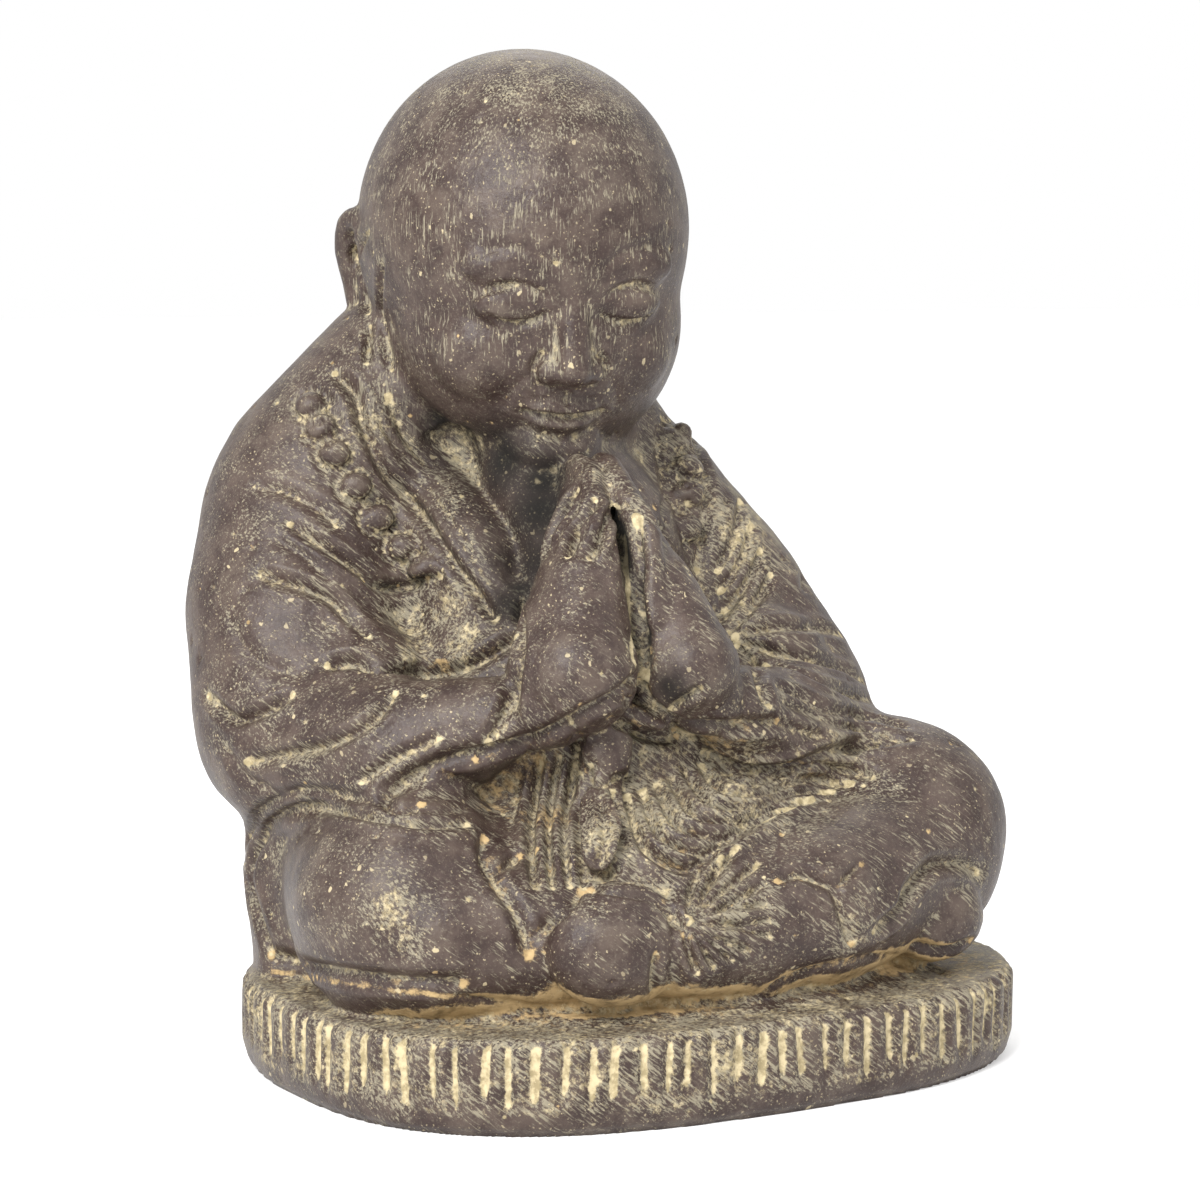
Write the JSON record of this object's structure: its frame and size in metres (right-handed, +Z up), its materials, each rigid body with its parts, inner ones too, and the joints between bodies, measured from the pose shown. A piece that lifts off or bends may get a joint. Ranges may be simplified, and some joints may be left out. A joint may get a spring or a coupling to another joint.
{
  "type": "praying monk statue",
  "caption": "Cast-stone statue of a bald child monk seated cross-legged with joined hands on an oval fluted slab, in dark brown stone with a pale patina",
  "frame": {"origin": "middle of the bounding box, on the slab's underside", "axes": "+Z up, the figure faces -Y, its own left hand is on +X"},
  "size_m": [0.2322, 0.1998, 0.3005],
  "materials": {
    "dark_cast_stone": "matt dark brown cast stone, rubbed with a pale yellow-green patina"
  },
  "bodies": {
    "root": {"praying_monk": "dark_cast_stone"}
  },
  "joints": []
}
